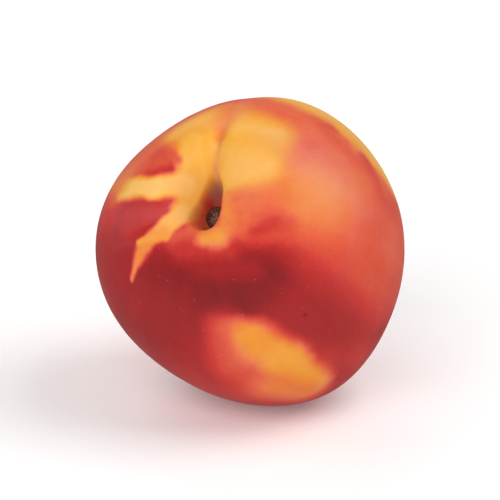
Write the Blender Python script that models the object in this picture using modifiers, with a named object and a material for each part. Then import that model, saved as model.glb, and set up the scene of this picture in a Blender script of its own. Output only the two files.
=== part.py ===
"""One picked nectarine at its real size, lying where it came to rest, in metres with +Z up.

The fruit is shaped upright first, in its own frame: the stem axis is +Z, the suture runs down
the +X side, and the two cheeks face +Y and -Y. An empty then turns it to its lying pose. The
origin is the middle of the flat spot that it rests on, and the ground is z = 0.
"""

import math

import bmesh
import bpy
import numpy as np
from mathutils import Matrix, Vector

MM = 0.001

# The body
CHEEK_WIDTH = 68.2 * MM
SUTURE_WIDTH = 68.8 * MM
BODY_HEIGHT = 67.0 * MM
SHOULDER_SPREAD = 0.030  # how much wider the stem end is than the tip end
LUMP = 0.010  # low swellings, as a share of the radius
LUMP_WAVES = (  # waves per radian along x, y and z, phase, share
    (2.3, 0.0, 1.1, 0.7, 0.35),
    (0.0, 2.9, -1.7, 2.1, 0.40),
    (1.4, -1.9, 4.1, 0.3, 0.25),
)
RISES = (  # broad rises and flats: degrees from the stem, degrees round, reach, share of the radius
    (59, 36, 0.55, -0.060),
    (92, 150, 0.62, -0.068),
    (109, -145, 0.45, 0.055),
    (78, -23, 0.38, 0.014),
)
WAIST_BLEND = 3.0 * MM  # over which the cavity's and the tip's hollows die out at the waist

# The stem cavity: a shallow bowl with a steep pit in its middle, drawn out towards the suture
BOWL_DEPTH = 4.2 * MM
BOWL_RADIUS = 10.5 * MM
PIT_DEPTH = 9.4 * MM
PIT_RADIUS = 4.2 * MM
PIT_STEEPNESS = 6.0
PIT_TOWARDS_SUTURE = 1.8
PIT_TAPER = 12.0 * MM  # distance along the suture in which the pit narrows to half
PIT_SIDE_BLEND = 1.2 * MM
PIT_REACH = 0.2  # radians from the stem, a little past the pit's wall
LEAN = 1.9 * MM  # how far one cheek leans in over the pit
LEAN_FROM_AXIS = 5.5 * MM
LEAN_ACROSS = 4.0 * MM
LEAN_ALONG = 5.0 * MM
LEAN_TOWARDS_SUTURE = -1.0 * MM
DIP = 4.6 * MM  # how far the other cheek's shoulder dips down to the pit
DIP_FROM_AXIS = 4.0 * MM
DIP_ACROSS = 5.0 * MM
DIP_ALONG = 6.5 * MM
DIP_TOWARDS_SUTURE = 1.5 * MM

# The suture: a crease that is deep at the cavity, almost gone at the waist, and back at the tip
CREASE_AT_RIM = 3.8 * MM
CREASE_AT_WAIST = 0.3 * MM
CREASE_AT_TIP = 1.4 * MM
CREASE_HALF_WIDTH = 3.4 * MM
CREASE_WIDENS = 1.8 * MM  # more half width at the tip than at the stem
CREASE_ROUNDING = 0.3 * MM
CREASE_SOFTENS = 4.0 * MM  # more rounding at the tip than at the stem
CREASE_START = 3.6 * MM  # from the stem axis
CREASE_START_BLEND = 1.2 * MM
CREASE_STEM_REACH = 0.56  # radians from the stem
CREASE_TIP_REACH = 0.60  # radians from the tip

# The tip
TIP_DEPTH = 1.9 * MM
TIP_RADIUS = 8.5 * MM

# The woody end of the stalk
STALK_RADIUS = 2.6 * MM
STALK_EDGE = 0.5 * MM  # thickness of the disc at its edge
STALK_RIM_RISE = 0.25 * MM  # how far the rim stands over the edge, the core over the hollow
STALK_CORE_RADIUS = 0.95 * MM
STALK_GAP = 0.35 * MM  # between the stalk's end and the skin round it
STALK_STEPS = 32

# The lying pose
STEM_ELEVATION = math.radians(38.0)
STEM_HEADING = math.radians(-23.8)
SUTURE_ROLL = math.radians(8.0)
FLAT_DEPTH = 0.62 * MM  # how far the skin is pressed flat where the fruit rests

# The mesh
SEGMENTS = 64
RINGS = 56
SUTURE_CROWDING = 0.5
CAVITY_CROWDING = 2.0
CAVITY_CROWDING_REACH = 0.22  # radians from the stem
CUTTER_SIZE = 60.0 * MM


def lumps(x, y, z):
    """Low swellings of the body, from a unit direction: a share of the radius to add."""
    swell = LUMP * sum(
        share * np.sin(a * x + b * y + c * z + phase) for a, b, c, phase, share in LUMP_WAVES
    )
    for from_stem, round_suture, reach, share in RISES:
        down, turn = math.radians(from_stem), math.radians(round_suture)
        off_x = x - math.sin(down) * math.cos(turn)
        off_y = y - math.sin(down) * math.sin(turn)
        off_z = z - math.cos(down)
        swell = swell + share * np.exp(-(off_x**2 + off_y**2 + off_z**2) / reach**2)
    return swell


def crease_depth(theta, x, y):
    """Depth of the suture, from the angle to the stem and the place across the fruit."""
    down = theta / math.pi
    from_stem = theta / CREASE_STEM_REACH
    from_tip = (math.pi - theta) / CREASE_TIP_REACH
    depth = CREASE_AT_WAIST + (CREASE_AT_RIM - CREASE_AT_WAIST) * np.exp(-(from_stem**2))
    depth += (CREASE_AT_TIP - CREASE_AT_WAIST) * np.exp(-(from_tip**2))
    half_width = CREASE_HALF_WIDTH + CREASE_WIDENS * down
    rounding = CREASE_ROUNDING + CREASE_SOFTENS * down
    off_line = np.sqrt(y**2 + rounding**2) - rounding
    on_suture_side = 1 / (1 + np.exp((CREASE_START - x) / CREASE_START_BLEND))
    return depth * np.exp(-off_line / half_width) * on_suture_side


def pit_share(x, y):
    """Share of the pit's depth at a place across the stem axis: 1 on its floor, 0 outside it."""
    on_suture_side = 1 / (1 + np.exp(-x / PIT_SIDE_BLEND))
    stretch = 1 + (PIT_TOWARDS_SUTURE - 1) * on_suture_side
    taper = 1 + x * on_suture_side / PIT_TAPER
    off_axis = np.sqrt((x / stretch) ** 2 + (y * taper) ** 2)
    return np.exp(-((off_axis / PIT_RADIUS) ** PIT_STEEPNESS))


def cheek_lean(x, y):
    """How far the -Y cheek leans in towards the stem axis, over the pit's wall."""
    along = (x - LEAN_TOWARDS_SUTURE) / LEAN_ALONG
    across = (y + LEAN_FROM_AXIS) / LEAN_ACROSS
    return LEAN * np.exp(-(along**2) - across**2)


def cheek_dip(x, y):
    """How far the +Y cheek's shoulder dips down to the pit."""
    along = (x - DIP_TOWARDS_SUTURE) / DIP_ALONG
    across = (y - DIP_FROM_AXIS) / DIP_ACROSS
    return DIP * np.exp(-(along**2) - across**2)


def skin_point(theta, phi):
    """The skin's x, y, z at an angle theta from the stem and phi round from the suture."""
    ux = np.sin(theta) * np.cos(phi)
    uy = np.sin(theta) * np.sin(phi)
    uz = np.cos(theta)
    swelling = 1 + lumps(ux, uy, uz)
    spread = swelling * (1 + SHOULDER_SPREAD * uz)
    x = 0.5 * SUTURE_WIDTH * ux * spread
    y = 0.5 * CHEEK_WIDTH * uy * spread
    z = 0.5 * BODY_HEIGHT * uz * swelling
    crease = crease_depth(theta, x, y)
    upper_half = 1 / (1 + np.exp(-z / WAIST_BLEND))
    tip_dimple = TIP_DEPTH * np.exp(-(x**2 + y**2) / TIP_RADIUS**2) * (1 - upper_half)
    pit = pit_share(x, y)
    bowl = np.exp(-(x**2 + y**2) / BOWL_RADIUS**2)
    drop = (BOWL_DEPTH * bowl + PIT_DEPTH * pit + cheek_dip(x, y) * (1 - pit)) * upper_half
    lean = cheek_lean(x, y) * (1 - pit) * upper_half
    return x - crease * ux, y - crease * uy + lean, z - crease * uz - drop + tip_dimple


def skin_grid(reach, down, around):
    """Angles theta and phi of a fine grid over the skin, out to an angle from the stem."""
    return np.meshgrid(np.linspace(0, reach, down), np.linspace(0, 2 * math.pi, around))


def ring_angles(samples=2000):
    """Angles from the stem for rings evenly spaced along the skin, and closer in the cavity."""
    theta = np.linspace(0, math.pi, samples)
    line = np.array(skin_point(theta, 0.5 * math.pi))
    step = np.linalg.norm(np.diff(line, axis=1), axis=0)
    weight = 1 + CAVITY_CROWDING * np.exp(-((theta[1:] / CAVITY_CROWDING_REACH) ** 2))
    along = np.concatenate([[0], np.cumsum(step * weight)])
    return np.interp(np.linspace(0, along[-1], RINGS + 1), along, theta)


def principled(name, colour, roughness):
    material = bpy.data.materials.new(name)
    material.use_nodes = True
    shader = material.node_tree.nodes["Principled BSDF"]
    shader.inputs["Base Color"].default_value = (*colour, 1)
    shader.inputs["Roughness"].default_value = roughness
    shader.inputs["Metallic"].default_value = 0
    material.diffuse_color = (*colour, 1)
    return material


def add_object(name, mesh, collection, parent=None):
    made = bpy.data.objects.new(name, mesh)
    made.parent = parent
    collection.objects.link(made)
    return made


def make_fruit(collection, pose):
    """The whole fruit: a UV sphere with its pole on the stem, moved onto the skin's formula."""
    bm = bmesh.new()
    bmesh.ops.create_uvsphere(bm, u_segments=SEGMENTS, v_segments=RINGS, radius=1)
    places = np.array([vertex.co for vertex in bm.verts])
    ring = np.arccos(np.clip(places[:, 2], -1, 1)) / math.pi * RINGS
    theta = np.interp(ring, np.arange(RINGS + 1), ring_angles())
    phi = np.arctan2(places[:, 1], places[:, 0])
    phi = phi - SUTURE_CROWDING * np.sin(phi)
    for vertex, place in zip(bm.verts, np.transpose(skin_point(theta, phi))):
        vertex.co = place
    mesh = bpy.data.meshes.new("fruit")
    bm.to_mesh(mesh)
    bm.free()
    mesh.shade_smooth()
    mesh.materials.append(principled("nectarine skin", (0.42, 0.035, 0.02), 0.35))
    return add_object("fruit", mesh, collection, pose)


def skin_height(radius):
    """The highest that the pit's skin comes within a radius of the stem axis."""
    theta, phi = skin_grid(PIT_REACH, 200, 120)
    x, y, z = skin_point(theta, phi)
    return float(z[np.hypot(x, y) <= radius].max())


def make_stalk_end(collection, pose):
    """A thick woody disc in the pit: a raised rim, a hollow ring and a low core."""
    underside = [
        (radius, skin_height(radius + STALK_GAP) + STALK_GAP)
        for radius in (STALK_RADIUS, 0.75 * STALK_RADIUS, 0.4 * STALK_RADIUS, 0)
    ]
    edge = underside[0][1] + STALK_EDGE
    top = [
        (0, edge + STALK_RIM_RISE),
        (0.6 * STALK_CORE_RADIUS, edge + STALK_RIM_RISE),
        (STALK_CORE_RADIUS, edge - 0.5 * STALK_RIM_RISE),
        (0.55 * STALK_RADIUS, edge - STALK_RIM_RISE),
        (0.75 * STALK_RADIUS, edge + 0.8 * STALK_RIM_RISE),
        (0.90 * STALK_RADIUS, edge + STALK_RIM_RISE),
        (STALK_RADIUS, edge),
    ]
    outline = top + underside
    mesh = bpy.data.meshes.new("stalk_end")
    edges = [(i, i + 1) for i in range(len(outline) - 1)]
    mesh.from_pydata([(radius, 0, height) for radius, height in outline], edges, [])
    mesh.materials.append(principled("dry stalk wood", (0.10, 0.03, 0.015), 0.85))
    stalk = add_object("stalk_end", mesh, collection, pose)
    screw = stalk.modifiers.new("turned", "SCREW")
    screw.steps = STALK_STEPS
    screw.render_steps = STALK_STEPS
    screw.use_merge_vertices = True
    screw.merge_threshold = 0.00001
    screw.use_smooth_shade = True
    return stalk


def set_pose(pose):
    """Turns the fruit to its lying pose, with the middle of its flat spot at the origin."""
    turn = (
        Matrix.Rotation(STEM_HEADING, 4, "Z")
        @ Matrix.Rotation(0.5 * math.pi - STEM_ELEVATION, 4, "X")
        @ Matrix.Rotation(0.5 * math.pi + SUTURE_ROLL, 4, "Z")
    )
    theta, phi = skin_grid(math.pi, 720, 1440)
    skin = np.array(turn.to_3x3()) @ np.reshape(skin_point(theta, phi), (3, -1))
    ground = skin[2].min() + FLAT_DEPTH
    pressed = skin[2] < ground
    share = np.sin(theta).reshape(-1)[pressed]
    middle = (skin[:2, pressed] * share).sum(axis=1) / share.sum()
    pose.rotation_euler = turn.to_euler()
    pose.location = (-middle[0], -middle[1], -ground)


def press_flat(fruit, cutters):
    """Cuts away what would be below the ground."""
    bm = bmesh.new()
    bmesh.ops.create_cube(bm, size=CUTTER_SIZE)
    mesh = bpy.data.meshes.new("ground cutter")
    bm.to_mesh(mesh)
    bm.free()
    cutter = add_object("ground cutter", mesh, cutters)
    cutter.location = Vector((0, 0, -0.5 * CUTTER_SIZE))
    cutter.display_type = "WIRE"
    cutter.hide_render = True
    cut = fruit.modifiers.new("flat spot", "BOOLEAN")
    cut.operation = "DIFFERENCE"
    cut.solver = "EXACT"
    cut.object = cutter


def main():
    for old in list(bpy.data.objects):
        bpy.data.objects.remove(old)
    scene = bpy.context.scene
    parts = bpy.data.collections.new("nectarine")
    cutters = bpy.data.collections.new("cutters")
    scene.collection.children.link(parts)
    scene.collection.children.link(cutters)
    pose = add_object("lying pose", None, parts)
    fruit = make_fruit(parts, pose)
    make_stalk_end(parts, pose)
    set_pose(pose)
    press_flat(fruit, cutters)


main()
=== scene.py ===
import functools
import math

import bpy
from mathutils import Matrix, Vector


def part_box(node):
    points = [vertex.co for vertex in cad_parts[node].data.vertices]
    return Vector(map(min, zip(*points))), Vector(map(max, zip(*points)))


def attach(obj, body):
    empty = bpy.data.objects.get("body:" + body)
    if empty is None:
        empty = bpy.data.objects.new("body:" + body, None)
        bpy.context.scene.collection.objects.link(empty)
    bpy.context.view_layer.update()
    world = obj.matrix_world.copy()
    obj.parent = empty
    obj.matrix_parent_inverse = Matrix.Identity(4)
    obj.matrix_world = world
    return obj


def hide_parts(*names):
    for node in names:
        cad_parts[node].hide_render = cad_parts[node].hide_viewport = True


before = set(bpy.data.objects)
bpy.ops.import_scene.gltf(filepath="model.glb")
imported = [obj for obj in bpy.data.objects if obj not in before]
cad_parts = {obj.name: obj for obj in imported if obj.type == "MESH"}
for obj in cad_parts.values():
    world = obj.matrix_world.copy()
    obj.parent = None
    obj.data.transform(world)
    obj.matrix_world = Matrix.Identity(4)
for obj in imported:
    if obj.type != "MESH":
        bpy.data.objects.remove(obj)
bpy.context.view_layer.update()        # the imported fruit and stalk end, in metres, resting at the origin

mm = 0.001
noiseSpan = (0.3, 0.7)   # where nearly all of a noise's values lie


# Turns an sRGB hex colour to the linear one that shaders take
def linear(hexColour):
    parts = [int(hexColour[i:i + 2], 16) / 255 for i in (1, 3, 5)]
    return tuple(c / 12.92 if c <= 0.04045 else ((c + 0.055) / 1.055) ** 2.4 for c in parts) + (1.0,)


# Adds one node, sets its properties, and links or sets its inputs, given in order or by name
def addNode(tree, kind, feeds=(), **settings):
    node = tree.nodes.new(kind)
    for name, value in settings.items():
        setattr(node, name, value)
    named = feeds.items() if isinstance(feeds, dict) else enumerate(feeds)
    for key, value in named:
        if isinstance(value, bpy.types.Node):
            value = next(output for output in value.outputs if output.enabled)
        if isinstance(value, bpy.types.NodeSocket):
            tree.links.new(value, node.inputs[key])
        elif value is not None:
            node.inputs[key].default_value = value
    return node


# Starts a geometry tree whose named inputs are the entries of a dictionary
def startTree(name, values):
    tree = bpy.data.node_groups.new(name, "GeometryNodeTree")
    kinds = {int: "NodeSocketInt", float: "NodeSocketFloat", tuple: "NodeSocketVector"}
    for key, value in values.items():
        socket = tree.interface.new_socket(key, in_out="INPUT", socket_type=kinds[type(value)])
        socket.default_value = value
    tree.interface.new_socket("Geometry", in_out="OUTPUT", socket_type="NodeSocketGeometry")
    return tree, tree.nodes.new("NodeGroupInput").outputs


# Runs a geometry tree on an empty object and keeps the result as a plain mesh
def growPiece(name, tree, values, material):
    holder = bpy.data.objects.new(name + "Grower", bpy.data.meshes.new(name + "Grower"))
    bpy.context.scene.collection.objects.link(holder)
    grower = holder.modifiers.new("grower", "NODES")
    grower.node_group = tree
    for item in tree.interface.items_tree:
        if item.in_out == "INPUT":
            grower[item.identifier] = values[item.name]
    graph = bpy.context.evaluated_depsgraph_get()
    mesh = bpy.data.meshes.new_from_object(holder.evaluated_get(graph))
    bpy.data.objects.remove(holder)
    mesh.name = name
    mesh.materials.clear()
    mesh.materials.append(material)
    piece = bpy.data.objects.new(name, mesh)
    bpy.context.scene.collection.objects.link(piece)
    return piece


# The lying pose, from upright: the stem axis leans to the viewer's left, the suture runs up
pose = {"stemElevation": 38.0, "stemHeading": -23.8, "sutureRoll": 8.0}      # degrees
lyingTurn = (
    Matrix.Rotation(math.radians(pose["stemHeading"]), 3, "Z")
    @ Matrix.Rotation(math.radians(90 - pose["stemElevation"]), 3, "X")
    @ Matrix.Rotation(math.radians(90 + pose["sutureRoll"]), 3, "Z")
)

# The fruit's form, in its own upright frame: stem up, suture on +X, cheeks on +Y and -Y
fruitBox = [Vector(corner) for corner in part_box("fruit")]
fruitForm = {
    "segments": 320,
    "rings": 280,
    "stemCrowding": 0.60,                      # how much closer the rings are at the stem
    "sutureCrowding": 0.35,
    "bodySize": (68.8 * mm, 68.2 * mm, 67.0 * mm),
    "shoulderSpread": 0.030,
    "lump": 0.010,
    "waistBlend": 3.0 * mm,
    "bowlDepth": 4.2 * mm,
    "bowlRadius": 10.5 * mm,
    "pitDepth": 9.4 * mm,
    "pitRadius": 4.2 * mm,
    "pitSteepness": 6.0,
    "pitTowardsSuture": 1.8,
    "pitTaper": 12.0 * mm,
    "pitSideBlend": 1.2 * mm,
    "lean": 1.9 * mm,
    "leanFromAxis": 5.5 * mm,
    "leanAcross": 4.0 * mm,
    "leanAlong": 5.0 * mm,
    "leanTowardsSuture": -1.0 * mm,
    "dip": 4.6 * mm,
    "dipFromAxis": 4.0 * mm,
    "dipAcross": 5.0 * mm,
    "dipAlong": 6.5 * mm,
    "dipTowardsSuture": 1.5 * mm,
    "creaseAtRim": 3.8 * mm,
    "creaseAtWaist": 0.3 * mm,
    "creaseAtTip": 1.4 * mm,
    "creaseHalfWidth": 3.4 * mm,
    "creaseWidens": 1.8 * mm,
    "creaseRounding": 0.3 * mm,
    "creaseSoftens": 4.0 * mm,                 # how much rounder its foot is at the tip
    "creaseStart": 3.6 * mm,
    "creaseStartBlend": 1.2 * mm,
    "creaseStemReach": 0.56,
    "creaseTipReach": 0.60,
    "creaseLine": 0.9 * mm,                    # the fine line along the crease's foot
    "creaseLineHalfWidth": 0.9 * mm,
    "creaseLineReach": 0.55,
    "tipDepth": 1.9 * mm,
    "tipRadius": 8.5 * mm,
    "pitFolds": 0.16 * mm,                     # fine folds that run down the pit's wall
    "pitFoldScale": 5.5,
    "unevenness": 0.10 * mm,                   # what breaks up the skin's reflections
    "unevennessScale": 4.5,
    "lyingTurn": tuple(lyingTurn.to_euler()),
    "restPlace": (
        0.5 * (fruitBox[0].x + fruitBox[1].x), 0.5 * (fruitBox[0].y + fruitBox[1].y), fruitBox[1].z,
    ),
}
# Broad hills and hollows: degrees from the stem, degrees round, reach, share of the radius
broadRises = (
    (59, 36, 0.55, -0.060),
    (92, 150, 0.62, -0.068),
    (109, -145, 0.45, 0.055),
    (78, -23, 0.38, 0.014),
)
# Low waves: waves a radian along x, y and z, phase, share of the lump
lumpWaves = (
    (2.3, 0.0, 1.1, 0.7, 0.35),
    (0.0, 2.9, -1.7, 2.1, 0.40),
    (1.4, -1.9, 4.1, 0.3, 0.25),
)


# Ripe nectarine skin: a thin, hairless, waxy skin over flesh. The ground is yellow and the
# sun side blushes from orange to crimson. The wax gives a broad soft sheen, not a hard gloss.
skin = {
    "ripeness": ("#FAC068", "#F3AE40", "#EE9432", "#E4603E", "#CC3630", "#A42426", "#741C1E"),
    "ripenessStops": (0.0, 0.13, 0.28, 0.48, 0.66, 0.84, 1.0),
    "cloudScale": 1.7,                         # the blush before its marks
    "cloudRipeness": (0.58, 0.88),
    "streakScale": (9.0, 9.0, 3.0),            # round the fruit and along it
    "streakShow": 0.07,
    "mottleScale": (30.0, 30.0, 30.0),
    "mottleShow": 0.06,
    "roughness": (0.34, 0.46),
    "lenticelSpacing": 2.1 * mm,
    "lenticelRadius": 0.14 * mm,
    "lenticelColour": "#F2B27A",
    "lenticelShow": 0.22,
    # the cavity's colour: greener skin, darkened as painted shade
    "cavityGreenAndShadeColour": "#C89A40",
    "cavityShow": 0.85,
    "cavityDepths": (2.2 * mm, 8.0 * mm),      # where the greener skin starts, and is full
    "cavityRipeness": (0.1, 0.45),             # the riper skin that it spares
    # the bloom's mauve, also used as painted shade and painted sheen
    "bloomAndPaintedLightColour": "#B9747F",
    "bloomAndPaintedLightShow": 0.8,
    "waxColour": "#F3BFA6",
    "waxShow": 0.17,
    "waxScale": 3.5,
    "waxClouds": (0.4, 0.75),                  # where in its noise a cloud starts, and is full
    "waxRipeness": (0.35, 0.75),               # it shows on pale skin and not on crimson
    "tipScarRadius": 0.9 * mm,
    "tipScarColour": "#5A3A22",
    "poreSpacing": 0.55 * mm,
    "poreDepth": 0.03 * mm,
    "poreShow": 0.35,
    "scatterShow": 0.25,                       # light that goes into the flesh and comes out again
    "scatterReach": 2.5 * mm,
    "scatterTint": (1.0, 0.35, 0.15),          # red goes in the farthest
    "gloss": 0.28,
    "waxIor": 1.45,
}
fruitRadius = 34 * mm                          # turns sizes on the skin to shares of the radius

# How far the marks' edges are pushed about: the scale of the noise, and its push in radii
markPushes = ((3.2, 0.06), (11.0, 0.035))
farPushes = ((2.0, 0.7), (9.0, 0.16))

# Each mark: where it starts and ends (degrees from the stem, degrees round from the suture),
# its half width at both ends in degrees, how ripe it is (or how dark or pale it is painted as shade or
# highlight), how soft its edge is, how strong it is
farMarks = (
    # the far side, pale where leaves shaded it
    ((70, 20), (105, 45), (16, 22), 0.70, 0.9, 1.0),
    ((83, -22), (97, -52), (20, 18), 0.10, 0.4, 1.0),  # crescent at the upper right edge
    ((100, -24), (122, -34), (14, 9), 0.30, 1.0, 0.9),
    ((98, 78), (120, 60), (9, 15), 0.22, 1.0, 0.95),
    ((118, 66), (140, 30), (10, 8), 0.34, 1.0, 0.9),
    ((108, 100), (126, 112), (5, 7), 0.40, 1.0, 0.8),
    ((120, -75), (142, -20), (9, 11), 0.38, 1.0, 0.8),
    # the tip end
    ((152, 175), (168, 100), (9, 12), 0.42, 1.0, 0.8),
    ((112, 130), (125, 165), (12, 14), 0.90, 0.9, 0.9),
)
marksAndPaintedLight = (
    # dark red: the fruit's own crimson, deepened as painted shade on the sides that the light falls on
    # least
    ((41, 108), (44, 130), (22, 19.8), 0.83, 0.8, 1.0),  # left limb
    ((37, 158), (37, -139), (14.5, 14.1), 0.94, 0.6, 1.0),  # middle
    ((56, -134), (74, -125), (12.4, 12), 0.82, 0.8, 1.0),  # low right
    ((53, 144), (48, 158), (12, 12), 0.82, 1.0, 1.0),  # left of the middle
    ((64, 158), (72, 173), (24, 22), 0.88, 0.9, 1.0),  # low left
    # the cheek: coral and orange, made paler in places as painted highlight where the lights fall on the
    # upper and right sides
    ((32, -67), (58, -82), (19.6, 20), 0.47, 0.8, 1.0),  # cheek
    ((76, -96), (92, -84), (17, 18), 0.55, 0.9, 1.0),  # right limb
    # painted highlight in part: the peach where the light's broad sheen falls on the cheek
    ((32, -78), (43, -80), (12.5, 12.5), 0.33, 0.9, 0.9),  # peach
    ((52, -2), (56, -26), (15, 13), 0.48, 0.8, 1.0),  # top
    # painted highlight in part: paler where the light from behind catches the upper left
    ((40, 32), (44, 10), (11, 9), 0.13, 0.9, 1.0),  # upper left
    # the yellow round the cavity
    ((14, 7), (38, 3), (3.4, 4.6), 0.17, 0.7, 1.0),  # along the crease
    ((29, 21), (14, 29), (5.7, 5.2), 0.11, 0.5, 1.0),  # left lobe
    ((14, 41), (10, 104), (4.4, 2.9), 0.16, 0.5, 1.0),  # left of the pit
    # painted highlight in part: the palest yellow where the light falls on the top of the right lobe
    ((34, -12), (38, -34), (10, 7.4), 0.0, 1.0, 0.9),  # above the right lobe
    ((24, -14), (24, -35), (6.9, 10.3), 0.11, 0.8, 1.0),  # right lobe
    ((15, -32), (25, -51), (8.2, 6.6), 0.08, 0.7, 1.0),  # right lobe low
    ((31, 0), (50, 1), (2.4, 5.7), 0.4, 1.0, 0.9),  # coral at the top of the crease
    # red and orange round the pit
    ((16, -88), (25, -88), (5.7, 7.4), 0.44, 0.9, 1.0),  # right of the pit
    ((15, -117), (21, -104), (5.8, 6.9), 0.46, 0.9, 1.0),  # right of the scar
    ((26, -106), (31, -103), (4.8, 4.2), 0.60, 0.9, 1.0),  # red right
    ((7, 102), (8, 163), (2.8, 4.9), 0.46, 0.9, 1.0),  # left of the scar
    ((15, 145), (11, 178), (3.9, 3.5), 0.55, 0.9, 1.0),  # below left of the scar
    ((24, -177), (31, -138), (3.3, 3.6), 0.84, 1.0, 1.0),  # below the lip
    ((18, 160), (21, -144), (3.9, 3), 0.72, 1.0, 1.0),  # red below the lip
    # painted highlight in part: the lip's crest is paler where the light catches it
    ((10, -71), (12, -114), (1.7, 2.1), 0.36, 1.0, 1.0),  # edge of the lip
    ((13, -122), (14, -141), (2.5, 3.3), 0.4, 1.0, 1.0),  # lip's bend
    ((13, -151), (12, -173), (3.7, 2.9), 0.26, 1.0, 1.0),  # pale lip
    ((23, -117), (28, -103), (2.4, 2.1), 0.68, 1.0, 0.8),  # red beyond the lip's bend
    # arms that run out from the cavity
    ((33, 47), (46, 59), (5.8, 20), 0.47, 0.9, 1.0),  # wedge above
    ((23, 36), (32, 47), (1.6, 4.2), 0.56, 0.8, 1.0),  # wedge tip
    ((14, 97), (30, 99), (2.6, 7.2), 0.73, 0.5, 1.0),  # dark wedge
    ((15, 51), (22, 72), (4.4, 4.2), 0.04, 0.45, 1.0),  # left arm
    ((22, 72), (39, 76), (4, 4.1), 0.0, 0.5, 1.0),  # left arm end
    ((44, 73), (66, 70), (5.5, 1.5), 0.38, 0.9, 0.9),  # where it fades out
    ((11, 94), (18, 124), (3.3, 3.3), 0.10, 0.4, 1.0),  # lower arm
    ((18, 124), (27, 125), (3.3, 2.3), 0.26, 0.5, 1.0),  # lower arm
    ((27, 125), (40, 132), (3.2, 1.1), 0.33, 0.7, 1.0),  # lower arm end
    ((22, 124), (28, 119), (1.5, 0.9), 0.22, 0.7, 1.0),  # spur
    ((16, 95), (21, 100), (1.3, 2.9), 0.7, 0.7, 1.0),  # the dark wedge's rounded tip
    # the upper right
    ((53, -43), (64, -66), (7, 8.5), 0.4, 1.0, 0.7),  # coral over the cheek
    ((79, -21), (92, -50), (17, 15), 0.10, 0.35, 1.0),  # yellow along the edge
    # the belly
    # painted shade: the underside is darker red where it turns down to the table
    ((97, 172), (99, -173), (26, 20), 0.68, 0.9, 1.0),  # bottom
    ((47, -169), (65, -168), (6.2, 8), 0.55, 1.0, 1.0),  # orange left
    ((66, -167), (83, -164), (10.1, 9.7), 0.57, 1.0, 1.0),  # orange low
    ((49, -162), (60, -162), (4.3, 5), 0.4, 1.0, 1.0),  # orange beside the core
    ((53, -157), (68, -151), (6, 7.6), 0.26, 0.7, 1.0),  # core
    ((70, -152), (90, -148), (7.2, 6.3), 0.20, 0.6, 1.0),  # core right
    ((82, -160), (93, -153), (8.4, 7.2), 0.38, 0.9, 1.0),  # low core
    ((57, -133), (58, -133), (0.5, 0.4), 1.0, 0.8, 1.0),  # blemish
)

# Where the wax has a dusty mauve bloom, and where the same mauve is painted shade down the pit's channel
# and the crease's foot and a painted sheen on the cheek; in the same way, with how thick it is in place of
# ripeness
bloomAndPaintedLightMarks = (
    # painted shade: the channel above the stalk, dark in the pit's shadow
    ((13, 2), (8, 19), (1.2, 1.2), 0.95, 0.8, 1.0),  # above the stalk
    # painted shade: a dark line along the crease's foot
    ((13, 0), (30, -1), (1, 0.7), 0.5, 1.0, 1.0),  # foot of the crease
    ((18, 98), (36, 95), (2.5, 6.3), 0.18, 0.9, 1.0),  # dark wedge
    ((41, 109), (29, 119), (1.6, 1.0), 0.12, 1.0, 0.9),  # streak
    # wax bloom, and in part a painted sheen on the lit cheek
    ((37, -41), (50, -69), (9.9, 16.3), 0.2, 1.0, 0.9),  # cheek
)


# The direction of a place on the fruit, from its angle from the stem and round from the suture
def onFruit(fromStem, roundSuture):
    down, turn = math.radians(fromStem), math.radians(roundSuture)
    return Vector((math.sin(down) * math.cos(turn), math.sin(down) * math.sin(turn), math.cos(down)))


# 1 at no distance, falling off like a round hill
def formHill(add, distance, reach):
    share = add("ShaderNodeMath", [distance, reach], operation="DIVIDE")
    square = add("ShaderNodeMath", [share, share], operation="MULTIPLY")
    return add("ShaderNodeMath", [1 / math.e, square], operation="POWER")


# 0 well below nought, 1 well above it
def formStep(add, value, blend):
    share = add("ShaderNodeMath", [value, blend], operation="DIVIDE")
    half = add("ShaderNodeMath", [share, 0.5], operation="MULTIPLY")
    bend = add("ShaderNodeMath", [half], operation="TANH")
    return add("ShaderNodeMath", [bend, 0.5, 0.5], operation="MULTIPLY_ADD")


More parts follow.
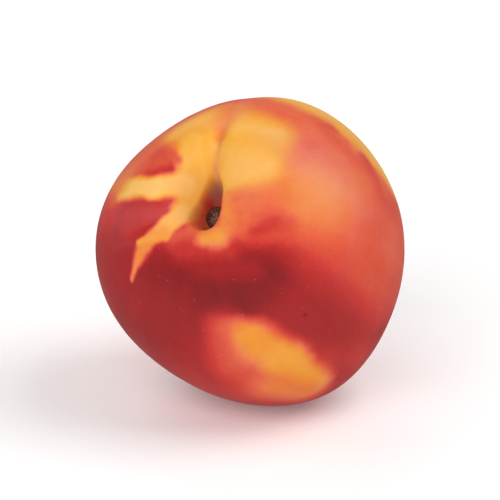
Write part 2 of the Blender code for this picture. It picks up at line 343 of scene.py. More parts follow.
# Builds the group that paints one mark over the ripeness that comes in
def markGroup():
    tree = bpy.data.node_groups.new("skinMark", "GeometryNodeTree")
    names = ("Ripeness", "Place", "Start", "Run", "Start width", "Widening", "Tone", "Softness",
             "Strength")
    for name in names:
        kind = "NodeSocketVector" if name in ("Place", "Start", "Run") else "NodeSocketFloat"
        tree.interface.new_socket(name, in_out="INPUT", socket_type=kind)
    tree.interface.new_socket("Ripeness", in_out="OUTPUT", socket_type="NodeSocketFloat")
    add = functools.partial(addNode, tree)
    given = tree.nodes.new("NodeGroupInput").outputs
    offset = add("ShaderNodeVectorMath", [given["Place"], given["Start"]], operation="SUBTRACT")
    ahead = add("ShaderNodeVectorMath", [offset, given["Run"]], operation="DOT_PRODUCT")
    whole = add("ShaderNodeVectorMath", [given["Run"], given["Run"]], operation="DOT_PRODUCT")
    share = add("ShaderNodeMath", [ahead, whole], operation="DIVIDE", use_clamp=True)
    reached = add("ShaderNodeVectorMath", {0: given["Run"], "Scale": share}, operation="SCALE")
    gap = add("ShaderNodeVectorMath", [offset, reached], operation="SUBTRACT")
    away = add("ShaderNodeVectorMath", [gap], operation="LENGTH")
    width = add("ShaderNodeMath", [share, given["Widening"], given["Start width"]],
                operation="MULTIPLY_ADD")
    awayShare = add("ShaderNodeMath", [away, width], operation="DIVIDE")
    inner = add("ShaderNodeMath", [1.0, given["Softness"]], operation="SUBTRACT")
    outer = add("ShaderNodeMath", [1.0, given["Softness"]], operation="ADD")
    cover = add("ShaderNodeMapRange", [awayShare, inner, outer, 1.0, 0.0], interpolation_type="SMOOTHSTEP")
    opacity = add("ShaderNodeMath", [cover, given["Strength"]], operation="MULTIPLY")
    change = add("ShaderNodeMath", [given["Tone"], given["Ripeness"]], operation="SUBTRACT")
    result = add("ShaderNodeMath", [change, opacity, given["Ripeness"]], operation="MULTIPLY_ADD")
    add("NodeGroupOutput", [result])
    return tree


def skinTree():
    tree, size = startTree("nectarineSkin", fruitForm)
    add = functools.partial(addNode, tree)
    hill = functools.partial(formHill, add)
    rise = functools.partial(formStep, add)

    # Angles down from the stem and round from the suture, with the rings crowded to the stem
    sphere = add("GeometryNodeMeshUVSphere", [size["segments"], size["rings"], 1.0])
    start = add("ShaderNodeSeparateXYZ", [add("GeometryNodeInputPosition")])
    even = add("ShaderNodeMath", [start.outputs["Z"]], operation="ARCCOSINE")
    share = add("ShaderNodeMath", [even, math.pi], operation="DIVIDE")
    fromEnd = add("ShaderNodeMath", [1.0, share], operation="SUBTRACT")
    crowd = add("ShaderNodeMath", [fromEnd, size["stemCrowding"]], operation="MULTIPLY")
    keep = add("ShaderNodeMath", [1.0, crowd], operation="SUBTRACT")
    theta = add("ShaderNodeMath", [even, keep], operation="MULTIPLY")
    around = add("ShaderNodeMath", [start.outputs["Y"], start.outputs["X"]], operation="ARCTAN2")
    wave = add("ShaderNodeMath", [around], operation="SINE")
    pull = add("ShaderNodeMath", [wave, size["sutureCrowding"]], operation="MULTIPLY")
    phi = add("ShaderNodeMath", [around, pull], operation="SUBTRACT")
    sinTheta = add("ShaderNodeMath", [theta], operation="SINE")
    cosTheta = add("ShaderNodeMath", [theta], operation="COSINE")
    cosPhi = add("ShaderNodeMath", [phi], operation="COSINE")
    sinPhi = add("ShaderNodeMath", [phi], operation="SINE")
    level = add("ShaderNodeCombineXYZ", [cosPhi, sinPhi, 0.0])
    outward = add("ShaderNodeVectorMath", {0: level, "Scale": sinTheta}, operation="SCALE")
    upward = add("ShaderNodeCombineXYZ", [0.0, 0.0, cosTheta])
    unit = add("ShaderNodeVectorMath", [outward, upward], operation="ADD")
    down = add("ShaderNodeMath", [theta, math.pi], operation="DIVIDE")
    meridian = add("ShaderNodeCombineXYZ", [cosPhi, sinPhi, down])

    # The body: an ellipsoid with low lumps and broader shoulders
    swell = 0.0
    for a, b, c, phase, amount in lumpWaves:
        along = add("ShaderNodeVectorMath", [unit, (a, b, c)], operation="DOT_PRODUCT")
        turned = add("ShaderNodeMath", [along, phase], operation="ADD")
        ripple = add("ShaderNodeMath", [turned], operation="SINE")
        swell = add("ShaderNodeMath", [ripple, amount, swell], operation="MULTIPLY_ADD")
    swelling = add("ShaderNodeMath", [swell, size["lump"], 1.0], operation="MULTIPLY_ADD")
    for fromStem, roundSuture, reach, amount in broadRises:
        gap = add("ShaderNodeVectorMath", [unit, onFruit(fromStem, roundSuture)], operation="DISTANCE")
        swelling = add("ShaderNodeMath", [hill(gap, reach), amount, swelling], operation="MULTIPLY_ADD")
    shoulder = add("ShaderNodeMath", [cosTheta, size["shoulderSpread"], 1.0], operation="MULTIPLY_ADD")
    spread = add("ShaderNodeMath", [shoulder, swelling], operation="MULTIPLY")
    growth = add("ShaderNodeCombineXYZ", [spread, spread, swelling])
    grown = add("ShaderNodeVectorMath", [unit, growth], operation="MULTIPLY")
    sized = add("ShaderNodeVectorMath", [grown, size["bodySize"]], operation="MULTIPLY")
    body = add("ShaderNodeVectorMath", {0: sized, "Scale": 0.5}, operation="SCALE")
    place = add("ShaderNodeSeparateXYZ", [body])
    x, y, z = place.outputs
    axisPlace = add("ShaderNodeVectorMath", [body, (1.0, 1.0, 0.0)], operation="MULTIPLY")
    offAxis = add("ShaderNodeVectorMath", [axisPlace], operation="LENGTH")
    upperHalf = rise(z, size["waistBlend"])
    lowerHalf = add("ShaderNodeMath", [1.0, upperHalf], operation="SUBTRACT")

    # The suture: a crease down the +X side, deep at the cavity and again at the tip
    creaseDepth = size["creaseAtWaist"]
    fromTip = add("ShaderNodeMath", [math.pi, theta], operation="SUBTRACT")
    ends = (("creaseAtRim", theta, "creaseStemReach"), ("creaseAtTip", fromTip, "creaseTipReach"))
    for depthName, angle, reachName in ends:
        extra = add("ShaderNodeMath", [size[depthName], size["creaseAtWaist"]], operation="SUBTRACT")
        near = hill(angle, size[reachName])
        creaseDepth = add("ShaderNodeMath", [extra, near, creaseDepth], operation="MULTIPLY_ADD")
    halfWidth = add("ShaderNodeMath", [down, size["creaseWidens"], size["creaseHalfWidth"]],
                    operation="MULTIPLY_ADD")
    rounding = add("ShaderNodeMath", [down, size["creaseSoftens"], size["creaseRounding"]],
                   operation="MULTIPLY_ADD")
    across = add("ShaderNodeCombineXYZ", [y, rounding, 0.0])
    rounded = add("ShaderNodeVectorMath", [across], operation="LENGTH")
    offLine = add("ShaderNodeMath", [rounded, rounding], operation="SUBTRACT")
    offShare = add("ShaderNodeMath", [offLine, halfWidth], operation="DIVIDE")
    fade = add("ShaderNodeMath", [1 / math.e, offShare], operation="POWER")
    pastStart = add("ShaderNodeMath", [x, size["creaseStart"]], operation="SUBTRACT")
    onSide = rise(pastStart, size["creaseStartBlend"])
    faded = add("ShaderNodeMath", [creaseDepth, fade], operation="MULTIPLY")
    onLine, nearStem = hill(y, size["creaseLineHalfWidth"]), hill(theta, size["creaseLineReach"])
    line = add("ShaderNodeMath", [onLine, size["creaseLine"]], operation="MULTIPLY")
    lined = add("ShaderNodeMath", [line, nearStem, faded], operation="MULTIPLY_ADD")
    crease = add("ShaderNodeMath", [lined, onSide], operation="MULTIPLY")

    # The cavity: a bowl and a steep pit, drawn out towards the suture and narrowing that way
    pitSide = rise(x, size["pitSideBlend"])
    drawn = add("ShaderNodeMath", [size["pitTowardsSuture"], 1.0], operation="SUBTRACT")
    stretch = add("ShaderNodeMath", [drawn, pitSide, 1.0], operation="MULTIPLY_ADD")
    alongSuture = add("ShaderNodeMath", [x, pitSide], operation="MULTIPLY")
    narrowing = add("ShaderNodeMath", [alongSuture, size["pitTaper"]], operation="DIVIDE")
    taper = add("ShaderNodeMath", [narrowing, 1.0], operation="ADD")
    pitX = add("ShaderNodeMath", [x, stretch], operation="DIVIDE")
    pitY = add("ShaderNodeMath", [y, taper], operation="MULTIPLY")
    pitPlace = add("ShaderNodeCombineXYZ", [pitX, pitY, 0.0])
    pitOff = add("ShaderNodeVectorMath", [pitPlace], operation="LENGTH")
    pitOffShare = add("ShaderNodeMath", [pitOff, size["pitRadius"]], operation="DIVIDE")
    steep = add("ShaderNodeMath", [pitOffShare, size["pitSteepness"]], operation="POWER")
    pit = add("ShaderNodeMath", [1 / math.e, steep], operation="POWER")
    bowl = hill(offAxis, size["bowlRadius"])
    bowlDrop = add("ShaderNodeMath", [size["bowlDepth"], bowl], operation="MULTIPLY")
    fullDrop = add("ShaderNodeMath", [size["pitDepth"], pit, bowlDrop], operation="MULTIPLY_ADD")
    drop = add("ShaderNodeMath", [fullDrop, upperHalf], operation="MULTIPLY")

    # One cheek leans in over the pit's wall, and the other dips down to it
    outOfPit = add("ShaderNodeMath", [1.0, pit], operation="SUBTRACT")
    onTop = add("ShaderNodeMath", [outOfPit, upperHalf], operation="MULTIPLY")
    beside = {}
    for name, side in (("lean", "ADD"), ("dip", "SUBTRACT")):
        alongPit = add("ShaderNodeMath", [x, size[name + "TowardsSuture"]], operation="SUBTRACT")
        acrossPit = add("ShaderNodeMath", [y, size[name + "FromAxis"]], operation=side)
        along, across = hill(alongPit, size[name + "Along"]), hill(acrossPit, size[name + "Across"])
        near = add("ShaderNodeMath", [along, across], operation="MULTIPLY")
        outside = add("ShaderNodeMath", [near, onTop], operation="MULTIPLY")
        beside[name] = add("ShaderNodeMath", [outside, size[name]], operation="MULTIPLY")

    # The tip's dimple, the folds in the pit and the skin's slight unevenness
    dimple = add("ShaderNodeMath", [hill(offAxis, size["tipRadius"]), lowerHalf], operation="MULTIPLY")
    tipRise = add("ShaderNodeMath", [dimple, size["tipDepth"]], operation="MULTIPLY")
    foldScale, roughScale = size["pitFoldScale"], size["unevennessScale"]
    foldNoise = add("ShaderNodeTexNoise", {"Vector": meridian, "Scale": foldScale, "Detail": 2.0})
    foldWave = add("ShaderNodeMath", [foldNoise, 0.5], operation="SUBTRACT")
    foldPlace = add("ShaderNodeMath", [foldWave, bowl], operation="MULTIPLY")
    fold = add("ShaderNodeMath", [foldPlace, size["pitFolds"]], operation="MULTIPLY")
    roughNoise = add("ShaderNodeTexNoise", {"Vector": unit, "Scale": roughScale, "Detail": 2.0})
    roughWave = add("ShaderNodeMath", [roughNoise, 0.5], operation="SUBTRACT")
    uneven = add("ShaderNodeMath", [roughWave, size["unevenness"]], operation="MULTIPLY")
    inward = add("ShaderNodeMath", [crease, uneven], operation="SUBTRACT")

    # The blush: cloudy, then the marks painted over one another, some of them painted shade or
    # painted highlight. The places are pushed about a little, so that no mark has a drawn edge.
    group = markGroup()

    def pushAbout(place, pushes):
        for scale, amount in pushes:
            noise = add("ShaderNodeTexNoise", {"Vector": unit, "Scale": scale, "Detail": 3.0})
            centred = add("ShaderNodeVectorMath", [noise.outputs["Color"], (0.5, 0.5, 0.5)],
                          operation="SUBTRACT")
            push = add("ShaderNodeVectorMath", {0: centred, "Scale": amount}, operation="SCALE")
            place = add("ShaderNodeVectorMath", [place, push], operation="ADD")
        return place

    def paint(amount, strokes, place):
        for start, end, widths, tone, softness, strength in strokes:
            first, last = onFruit(*start), onFruit(*end)
            amount = add("GeometryNodeGroup", {
                "Ripeness": amount, "Place": place, "Start": first, "Run": last - first,
                "Start width": math.radians(widths[0]), "Widening": math.radians(widths[1] - widths[0]),
                "Tone": tone, "Softness": softness, "Strength": strength,
            }, node_tree=group)
        return amount

    place, farPlace = pushAbout(unit, markPushes), pushAbout(unit, farPushes)
    clouds = add("ShaderNodeTexNoise", {
        "Vector": unit, "Scale": skin["cloudScale"], "Detail": 4.0, "Roughness": 0.55,
    })
    ripeness = add("ShaderNodeMapRange", [clouds, *noiseSpan, *skin["cloudRipeness"]])
    ripeness = paint(paint(ripeness, farMarks, farPlace), marksAndPaintedLight, place)
    bloom = paint(0.0, bloomAndPaintedLightMarks, place)

    # Everything added up, turned to the lying pose, set down where the CAD fruit is, and
    # pressed flat where it rests
    pushed = add("ShaderNodeVectorMath", {0: unit, "Scale": inward}, operation="SCALE")
    creased = add("ShaderNodeVectorMath", [body, pushed], operation="SUBTRACT")
    lift = add("ShaderNodeMath", [tipRise, drop], operation="SUBTRACT")
    lowered = add("ShaderNodeMath", [lift, beside["dip"]], operation="SUBTRACT")
    lifted = add("ShaderNodeMath", [lowered, fold], operation="ADD")
    moved = add("ShaderNodeCombineXYZ", [0.0, beside["lean"], lifted])
    shaped = add("ShaderNodeVectorMath", [creased, moved], operation="ADD")
    named = sphere
    attributes = (("growth", unit, "FLOAT_VECTOR"), ("meridian", meridian, "FLOAT_VECTOR"),
                  ("hollow", drop, "FLOAT"), ("ripeness", ripeness, "FLOAT"), ("bloom", bloom, "FLOAT"))
    for name, value, kind in attributes:
        named = add("GeometryNodeStoreNamedAttribute", {"Geometry": named, "Name": name, "Value": value},
                    data_type=kind)
    formed = add("GeometryNodeSetPosition", {"Geometry": named, "Position": shaped})
    turn = add("FunctionNodeEulerToRotation", [size["lyingTurn"]])
    turnedUp = add("GeometryNodeTransform", {"Geometry": formed, "Rotation": turn})
    box = add("GeometryNodeBoundBox", [turnedUp])
    both = add("ShaderNodeVectorMath", [box.outputs["Min"], box.outputs["Max"]], operation="ADD")
    middle = add("ShaderNodeVectorMath", [both, (0.5, 0.5, 0.0)], operation="MULTIPLY")
    top = add("ShaderNodeVectorMath", [box.outputs["Max"], (0.0, 0.0, 1.0)], operation="MULTIPLY")
    held = add("ShaderNodeVectorMath", [middle, top], operation="ADD")
    shift = add("ShaderNodeVectorMath", [size["restPlace"], held], operation="SUBTRACT")
    setDown = add("GeometryNodeSetPosition", {"Geometry": turnedUp, "Offset": shift})
    low = (-1.0, -1.0, 0.0)                    # only z meets it: the fruit is far less than a metre
    here = add("GeometryNodeInputPosition")
    aboveGround = add("ShaderNodeVectorMath", [here, low], operation="MAXIMUM")
    pressed = add("GeometryNodeSetPosition", {"Geometry": setDown, "Position": aboveGround})
    smooth = add("GeometryNodeSetShadeSmooth", {"Geometry": pressed})
    real = add("GeometryNodeRealizeInstances", [smooth])
    painted = add("GeometryNodeSetMaterial", {"Geometry": real, "Material": skinMaterial})
    add("NodeGroupOutput", [painted])
    return tree


# Lays one colour over another by a share
def layOver(add, share, under, over):
    return add("ShaderNodeMix", {"Factor": share, 6: under, 7: over}, data_type="RGBA").outputs[2]


def makeSkinMaterial():
    material = bpy.data.materials.new("waxyNectarineSkin")
    material.use_nodes = True
    tree = material.node_tree
    add = functools.partial(addNode, tree)
    shader = tree.nodes["Principled BSDF"]

    # How ripe the skin is, with the painted shade and highlight of its marks, then streaks along the fruit
    # and a fine mottle
    growth = add("ShaderNodeAttribute", attribute_name="growth").outputs["Vector"]
    meridian = add("ShaderNodeAttribute", attribute_name="meridian").outputs["Vector"]
    ripeness = add("ShaderNodeAttribute", attribute_name="ripeness").outputs["Fac"]
    streakPlace = add("ShaderNodeVectorMath", [meridian, skin["streakScale"]], operation="MULTIPLY")
    mottlePlace = add("ShaderNodeVectorMath", [growth, skin["mottleScale"]], operation="MULTIPLY")
    for source, amount in ((streakPlace, skin["streakShow"]), (mottlePlace, skin["mottleShow"])):
        noise = add("ShaderNodeTexNoise", {"Vector": source, "Scale": 1.0, "Detail": 3.0})
        centred = add("ShaderNodeMath", [noise, 0.5], operation="SUBTRACT")
        ripeness = add("ShaderNodeMath", [centred, amount, ripeness], operation="MULTIPLY_ADD")
    ramp = add("ShaderNodeValToRGB", [ripeness])
    while len(ramp.color_ramp.elements) < len(skin["ripeness"]):
        ramp.color_ramp.elements.new(0.5)
    stops = zip(ramp.color_ramp.elements, skin["ripenessStops"], skin["ripeness"])
    for element, stop, colour in stops:
        element.position, element.color = stop, linear(colour)

    # The skin stays greener down in the cavity, where no light ripened it, and is darker there as painted
    # shade
    hollow = add("ShaderNodeAttribute", attribute_name="hollow").outputs["Fac"]
    deep = add("ShaderNodeMapRange", [hollow, *skin["cavityDepths"], 0.0, skin["cavityShow"]])
    unripe = add("ShaderNodeMapRange", [ripeness, *skin["cavityRipeness"], 1.0, 0.0])
    greenAndShade = add("ShaderNodeMath", [deep, unripe], operation="MULTIPLY")
    colour = layOver(add, greenAndShade, ramp, linear(skin["cavityGreenAndShadeColour"]))
    # The mauve bloom, which also lays painted shade in the pit's channel and along the crease, and a
    # painted sheen on the cheek
    bloom = add("ShaderNodeAttribute", attribute_name="bloom").outputs["Fac"]
    bloomAndPaintedLightShare = add("ShaderNodeMath", [bloom, skin["bloomAndPaintedLightShow"]], operation="MULTIPLY")
    colour = layOver(add, bloomAndPaintedLightShare, colour, linear(skin["bloomAndPaintedLightColour"]))

    # Wax lies in thin pale clouds, thick enough in places to dull the skin
    wax = add("ShaderNodeTexNoise", {"Vector": growth, "Scale": skin["waxScale"], "Detail": 3.0})
    cloudy = add("ShaderNodeMapRange", [wax, *skin["waxClouds"], 0.0, skin["waxShow"]])
    pale = add("ShaderNodeMapRange", [ripeness, *skin["waxRipeness"], 1.0, 0.0])
    veil = add("ShaderNodeMath", [cloudy, pale], operation="MULTIPLY")
    colour = layOver(add, veil, colour, linear(skin["waxColour"]))

    # Lenticels: the pale breathing dots of the skin
    dots = add("ShaderNodeTexVoronoi", {"Vector": growth, "Scale": fruitRadius / skin["lenticelSpacing"]})
    dotEdge = skin["lenticelRadius"] / skin["lenticelSpacing"]
    dotCover = add("ShaderNodeMapRange", [dots, 0.5 * dotEdge, 1.5 * dotEdge, skin["lenticelShow"], 0.0])
    colour = layOver(add, dotCover, colour, linear(skin["lenticelColour"]))

    # The corky point at the tip, where the flower's style fell off
    tipGap = add("ShaderNodeVectorMath", [growth, (0.0, 0.0, -1.0)], operation="DISTANCE")
    tipEdge = skin["tipScarRadius"] / fruitRadius
    tipCover = add("ShaderNodeMapRange", [tipGap, 0.7 * tipEdge, 1.3 * tipEdge, 1.0, 0.0])
    colour = layOver(add, tipCover, colour, linear(skin["tipScarColour"]))
    tree.links.new(colour, shader.inputs["Base Color"])

    dull = add("ShaderNodeMapRange", [wax, *noiseSpan, *skin["roughness"]])
    tree.links.new(dull.outputs["Result"], shader.inputs["Roughness"])
    shader.inputs["IOR"].default_value = skin["waxIor"]
    shader.inputs["Specular IOR Level"].default_value = skin["gloss"]
    shader.inputs["Subsurface Weight"].default_value = skin["scatterShow"]
    shader.inputs["Subsurface Radius"].default_value = skin["scatterTint"]
    shader.inputs["Subsurface Scale"].default_value = skin["scatterReach"]

    # The skin's fine grain
    poreScale = fruitRadius / skin["poreSpacing"]
    grain = add("ShaderNodeTexNoise", {"Vector": growth, "Scale": poreScale, "Detail": 2.0})
    bump = add("ShaderNodeBump", {
        "Height": grain, "Strength": skin["poreShow"], "Distance": skin["poreDepth"],
    })
    tree.links.new(bump.outputs["Normal"], shader.inputs["Normal"])
    return material


skinMaterial = makeSkinMaterial()
nectarineSkin = growPiece("nectarineSkin", skinTree(), fruitForm, skinMaterial)
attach(nectarineSkin, "root")
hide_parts("fruit")
print("skin:", len(nectarineSkin.data.polygons), "faces")

# What is left of the stalk: a dark dry disc, torn across its fibres when the fruit was picked
upright = lyingTurn.transposed()
stalkPoints = [upright @ vertex.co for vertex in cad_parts["stalk_end"].data.vertices]
stalkLow = Vector([min(point[i] for point in stalkPoints) for i in range(3)])
stalkHigh = Vector([max(point[i] for point in stalkPoints) for i in range(3)])
stalkMiddle = 0.5 * (stalkLow + stalkHigh)
stalkForm = {
    "segments": 120,
    "rings": 72,
    "radius": 0.5 * (stalkHigh.x - stalkLow.x),
    "foot": stalkLow.z - stalkHigh.z,          # heights are counted down from the rim
    "edgeFoot": -0.75 * mm,
    "hollow": -0.55 * mm,
    "rimRise": 0.50 * mm,
    "rimPlace": 0.84,                          # shares of the radius
    "rimReach": 0.14,
    "coreRise": 0.52 * mm,
    "coreReach": 0.30,
    "fibreDepth": 0.55 * mm,
    "fibreScale": 5.0,
    "crumbDepth": 0.22 * mm,
    "crumbScale": 6.0,
    "edgeShare": 0.97,                         # of the radius, before the fibres fray it
    "fray": 0.16,
    "rimFibres": 52,
    "coreFibres": 16,
    "fibreLength": 0.62 * mm,
    "fibreRadius": 0.055 * mm,
    "fibreTip": 0.01 * mm,
    "seed": 7,
    "lyingTurn": tuple(lyingTurn.to_euler()),
    "restPlace": tuple(lyingTurn @ Vector((stalkMiddle.x, stalkMiddle.y, stalkHigh.z))),
}
# Rings of splinters: how many, the ring's share of the radius, how far below the rim, seed step
splinterRings = (("rimFibres", 0.84, 0.22 * mm, 0.0), ("coreFibres", 0.20, 0.16 * mm, 40.0))
splinterStray = 0.22 * mm
splinterOutward = (0.35, 0.35, 0.35)
splinterLean = ((-0.5, -0.5, 0.35), (0.5, 0.5, 1.0))
splinterLengths = (0.45, 1.2)                  # shares of the fibres' length


def stalkTree():
    tree, size = startTree("stalkEnd", stalkForm)
    add = functools.partial(addNode, tree)
    hill = functools.partial(formHill, add)

    # A ball squared off to a disc, so that it has no seam
    ball = add("GeometryNodeMeshUVSphere", [size["segments"], size["rings"], 1.0])
    start = add("GeometryNodeInputPosition")
    parts = add("ShaderNodeSeparateXYZ", [start])
    level = add("ShaderNodeVectorMath", [start, (1.0, 1.0, 0.0)], operation="MULTIPLY")
    out = add("ShaderNodeVectorMath", [level], operation="LENGTH")
    tall = add("ShaderNodeMath", [parts.outputs["Z"]], operation="ABSOLUTE")
    most = add("ShaderNodeMath", [out, tall], operation="MAXIMUM")
    grow = add("ShaderNodeMath", [1.0, most], operation="DIVIDE")
    squared = add("ShaderNodeVectorMath", {0: start, "Scale": grow}, operation="SCALE")
    share = add("ShaderNodeMath", [out, most], operation="DIVIDE")
    upDown = add("ShaderNodeSeparateXYZ", [squared]).outputs["Z"]

    # Fibres run out from the core; crumbs roughen the torn face
    heading = add("ShaderNodeVectorMath", [level], operation="NORMALIZE")
    fibreNoise = add("ShaderNodeTexNoise", {"Vector": heading, "Scale": size["fibreScale"], "Detail": 3.0})
    fibreWave = add("ShaderNodeMath", [fibreNoise, 0.5], operation="SUBTRACT")
    crumbScale = size["crumbScale"]
    crumbNoise = add("ShaderNodeTexNoise", {"Vector": squared, "Scale": crumbScale, "Detail": 3.0})
    crumbWave = add("ShaderNodeMath", [crumbNoise, 0.5], operation="SUBTRACT")
    fibreShare = add("ShaderNodeMath", [fibreWave, share], operation="MULTIPLY")
    rimGap = add("ShaderNodeMath", [share, size["rimPlace"]], operation="SUBTRACT")
    onRim, onCore = hill(rimGap, size["rimReach"]), hill(share, size["coreReach"])
    face = add("ShaderNodeMath", [onRim, size["rimRise"], size["hollow"]], operation="MULTIPLY_ADD")
    face = add("ShaderNodeMath", [onCore, size["coreRise"], face], operation="MULTIPLY_ADD")
    face = add("ShaderNodeMath", [fibreShare, size["fibreDepth"], face], operation="MULTIPLY_ADD")
    face = add("ShaderNodeMath", [crumbWave, size["crumbDepth"], face], operation="MULTIPLY_ADD")
    shareSquare = add("ShaderNodeMath", [share, share], operation="MULTIPLY")
    footRise = add("ShaderNodeMath", [size["edgeFoot"], size["foot"]], operation="SUBTRACT")
    foot = add("ShaderNodeMath", [footRise, shareSquare, size["foot"]], operation="MULTIPLY_ADD")
    height = add("ShaderNodeMapRange", [upDown, -1.0, 1.0, foot, face])
    ragged = add("ShaderNodeMath", [fibreShare, size["fray"], size["edgeShare"]],
                 operation="MULTIPLY_ADD")
    wide = add("ShaderNodeMath", [ragged, size["radius"]], operation="MULTIPLY")
    spread = add("ShaderNodeVectorMath", {0: squared, "Scale": wide}, operation="SCALE")
    flatPart = add("ShaderNodeVectorMath", [spread, (1.0, 1.0, 0.0)], operation="MULTIPLY")
    highPart = add("ShaderNodeCombineXYZ", [0.0, 0.0, height])
    shaped = add("ShaderNodeVectorMath", [flatPart, highPart], operation="ADD")
    disc = add("GeometryNodeSetPosition", {"Geometry": ball, "Position": shaped})
    pieces = [add("GeometryNodeSetShadeSmooth", {"Geometry": disc})]

    # Splinters left standing on the rim and on the core, each strewn and leaning its own way
    splinter = add("GeometryNodeMeshCone", {
        "Vertices": 5, "Side Segments": 2, "Radius Top": size["fibreTip"],
        "Radius Bottom": size["fibreRadius"], "Depth": size["fibreLength"],
    })
    for count, place, drop, seedStep in splinterRings:
        seed = add("ShaderNodeMath", [size["seed"], seedStep], operation="ADD")
        ringRadius = add("ShaderNodeMath", [size["radius"], place], operation="MULTIPLY")
        ring = add("GeometryNodeMeshCircle", {"Vertices": size[count], "Radius": ringRadius})
        low, high = (-splinterStray, -splinterStray, -drop), (splinterStray, splinterStray, -drop)
        stray = add("FunctionNodeRandomValue", {0: low, 1: high, "Seed": seed}, data_type="FLOAT_VECTOR")
        strewn = add("GeometryNodeSetPosition", {"Geometry": ring, "Offset": stray})
        low, high = splinterLean
        lean = add("FunctionNodeRandomValue", {0: low, 1: high, "Seed": seed}, data_type="FLOAT_VECTOR")
        outward = add("ShaderNodeVectorMath", [add("GeometryNodeInputPosition")], operation="NORMALIZE")
        standing = add("ShaderNodeVectorMath", [outward, splinterOutward, lean], operation="MULTIPLY_ADD")
        turned = add("FunctionNodeAlignRotationToVector", {"Vector": standing}, axis="Z")
        low, high = splinterLengths
        length = add("FunctionNodeRandomValue", {2: low, 3: high, "Seed": seed}, data_type="FLOAT")
        pieces.append(add("GeometryNodeInstanceOnPoints", {
            "Points": strewn, "Instance": splinter, "Rotation": turned, "Scale": length.outputs[1],
        }))
    joined = tree.nodes.new("GeometryNodeJoinGeometry")
    for piece in pieces:
        tree.links.new(piece.outputs[0], joined.inputs[0])
    real = add("GeometryNodeRealizeInstances", [joined])
    own = add("GeometryNodeInputPosition")
    placed = add("ShaderNodeVectorMath", [own, size["radius"]], operation="DIVIDE")
    named = add("GeometryNodeStoreNamedAttribute", {
        "Geometry": real, "Name": "stalkPlace", "Value": placed,
    }, data_type="FLOAT_VECTOR")
    turn = add("FunctionNodeEulerToRotation", [size["lyingTurn"]])
    setDown = add("GeometryNodeTransform", {
        "Geometry": named, "Translation": size["restPlace"], "Rotation": turn,
    })
    coloured = add("GeometryNodeSetMaterial", {"Geometry": setDown, "Material": stalkMaterial})
    add("NodeGroupOutput", [coloured])
    return tree


# Dry torn wood: dark where the bark rings it, paler and greyer at the fibres of its core
stalkLook = {
    "bark": "#3A1A14",
    "fibre": "#7C5446",
    "core": "#A58A74",
    "fibreSpacing": 0.35 * mm,
    "fibreShade": (0.16, 0.36),                # where the fibres turn from bark brown to pale
    "coreEdge": (0.15, 0.55),                  # shares of the radius over which the core ends
    "barkEdge": (0.60, 0.95),                  # and over which the bark takes over
    "fibresInBark": 0.25,
    "roughness": (0.75, 0.95),
    "grainShow": 0.6,
    "grainDepth": 0.1 * mm,
}


def makeStalkMaterial():
    material = bpy.data.materials.new("dryTornStalkWood")
    material.use_nodes = True
    tree = material.node_tree
    add = functools.partial(addNode, tree)
    shader = tree.nodes["Principled BSDF"]
    place = add("ShaderNodeAttribute", attribute_name="stalkPlace").outputs["Vector"]
    level = add("ShaderNodeVectorMath", [place, (1.0, 1.0, 0.0)], operation="MULTIPLY")
    out = add("ShaderNodeVectorMath", [level], operation="LENGTH")
    heading = add("ShaderNodeVectorMath", [level], operation="NORMALIZE")
    perRadian = stalkForm["radius"] / stalkLook["fibreSpacing"]
    fibres = add("ShaderNodeTexNoise", {"Vector": heading, "Scale": perRadian, "Detail": 3.0})
    crumbs = add("ShaderNodeTexNoise", {"Vector": place, "Scale": perRadian, "Detail": 4.0})
    mixed = add("ShaderNodeMath", [fibres, crumbs], operation="MULTIPLY")
    pale = add("ShaderNodeMapRange", [mixed, *stalkLook["fibreShade"], 0.0, 1.0])
    coreShare = add("ShaderNodeMapRange", [out, *stalkLook["coreEdge"], 1.0, 0.0])
    woody = layOver(add, coreShare, linear(stalkLook["fibre"]), linear(stalkLook["core"]))
    faded = add("ShaderNodeMapRange", [out, *stalkLook["barkEdge"], 1.0, stalkLook["fibresInBark"]])
    cover = add("ShaderNodeMath", [pale, faded], operation="MULTIPLY")
    colour = layOver(add, cover, linear(stalkLook["bark"]), woody)
    tree.links.new(colour, shader.inputs["Base Color"])
    dry = add("ShaderNodeMapRange", [crumbs, *noiseSpan, *stalkLook["roughness"]])
    tree.links.new(dry.outputs["Result"], shader.inputs["Roughness"])
    bump = add("ShaderNodeBump", {
        "Height": mixed, "Strength": stalkLook["grainShow"], "Distance": stalkLook["grainDepth"],
    })
    tree.links.new(bump.outputs["Normal"], shader.inputs["Normal"])
    return material


stalkMaterial = makeStalkMaterial()
stalkEnd = growPiece("stalkEnd", stalkTree(), stalkForm, stalkMaterial)
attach(stalkEnd, "root")
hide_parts("stalk_end")
print("stalk end:", len(stalkEnd.data.polygons), "faces")

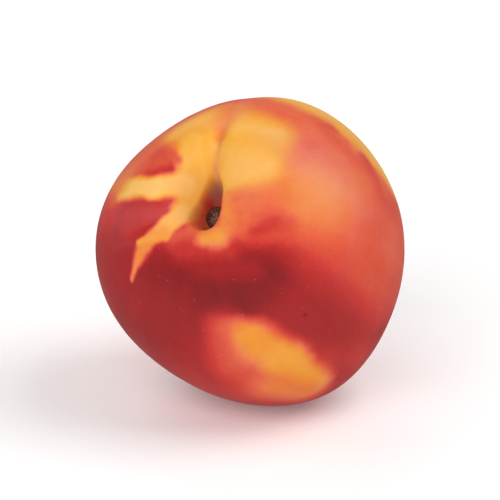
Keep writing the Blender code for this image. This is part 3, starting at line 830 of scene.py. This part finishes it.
# The view: from in front and a little above, through a long lens
view = {"elevation": 20.0, "distance": 0.9, "frameWidth": 109.8 * mm, "sensor": 36.0}
middle = 0.5 * (fruitBox[0] + fruitBox[1])
tilt = math.radians(view["elevation"])
towardView = Vector((0, -math.cos(tilt), math.sin(tilt)))
camera = bpy.data.objects.new("camera", bpy.data.cameras.new("camera"))
camera.data.sensor_width = view["sensor"]
camera.data.lens = view["sensor"] * view["distance"] / view["frameWidth"]
camera.location = middle + view["distance"] * towardView
camera.rotation_euler = towardView.to_track_quat("Z", "Y").to_euler()
bpy.context.scene.collection.objects.link(camera)
bpy.context.scene.camera = camera

# A white light tent over a pale table. Only the light from the right shows in the gloss. Each
# light: its name, its place in metres, its width, its watts, whether the gloss shows it.
lights = (
    ("right", (0.70, -0.02, 0.88), 0.9, 7.1, True),
    ("back", (-0.15, 1.05, 0.42), 0.6, 3.0, False),
    ("left", (-0.75, 0.25, 0.95), 0.9, 2.2, False),
    ("front", (-0.55, -1.15, 0.8), 1.2, 13.2, False),
)
for name, place, width, power, seenInGloss in lights:
    lamp = bpy.data.lights.new(name, "AREA")
    lamp.size, lamp.energy = width, power
    light = bpy.data.objects.new(name, lamp)
    light.location = place
    light.visible_glossy = seenInGloss
    light.rotation_euler = (Vector(place) - middle).to_track_quat("Z", "Y").to_euler()
    bpy.context.scene.collection.objects.link(light)
tentGlow = 0.24
world = bpy.data.worlds.new("tent")
world.use_nodes = True
world.node_tree.nodes["Background"].inputs["Color"].default_value = (1, 1, 1, 1)
world.node_tree.nodes["Background"].inputs["Strength"].default_value = tentGlow
bpy.context.scene.world = world
bpy.context.scene.view_settings.view_transform = "Standard"

# Matt white board, lit a little from below as on a photo table, so its shadows stay pale
board = {"colour": (0.94, 0.94, 0.94, 1), "roughness": 0.8, "glow": 0.12, "reach": 4.0}
tableMaterial = bpy.data.materials.new("paleTable")
tableMaterial.use_nodes = True
tableShader = tableMaterial.node_tree.nodes["Principled BSDF"]
tableShader.inputs["Base Color"].default_value = board["colour"]
tableShader.inputs["Roughness"].default_value = board["roughness"]
tableShader.inputs["Emission Color"].default_value = (1, 1, 1, 1)
tableShader.inputs["Emission Strength"].default_value = board["glow"]
tableMesh = bpy.data.meshes.new("table")
reach = board["reach"]
corners = [(-reach, -reach, 0), (reach, -reach, 0), (reach, reach, 0), (-reach, reach, 0)]
tableMesh.from_pydata(corners, [], [(0, 1, 2, 3)])
tableMesh.materials.append(tableMaterial)
table = bpy.data.objects.new("table", tableMesh)
bpy.context.scene.collection.objects.link(table)
table.visible_glossy = False
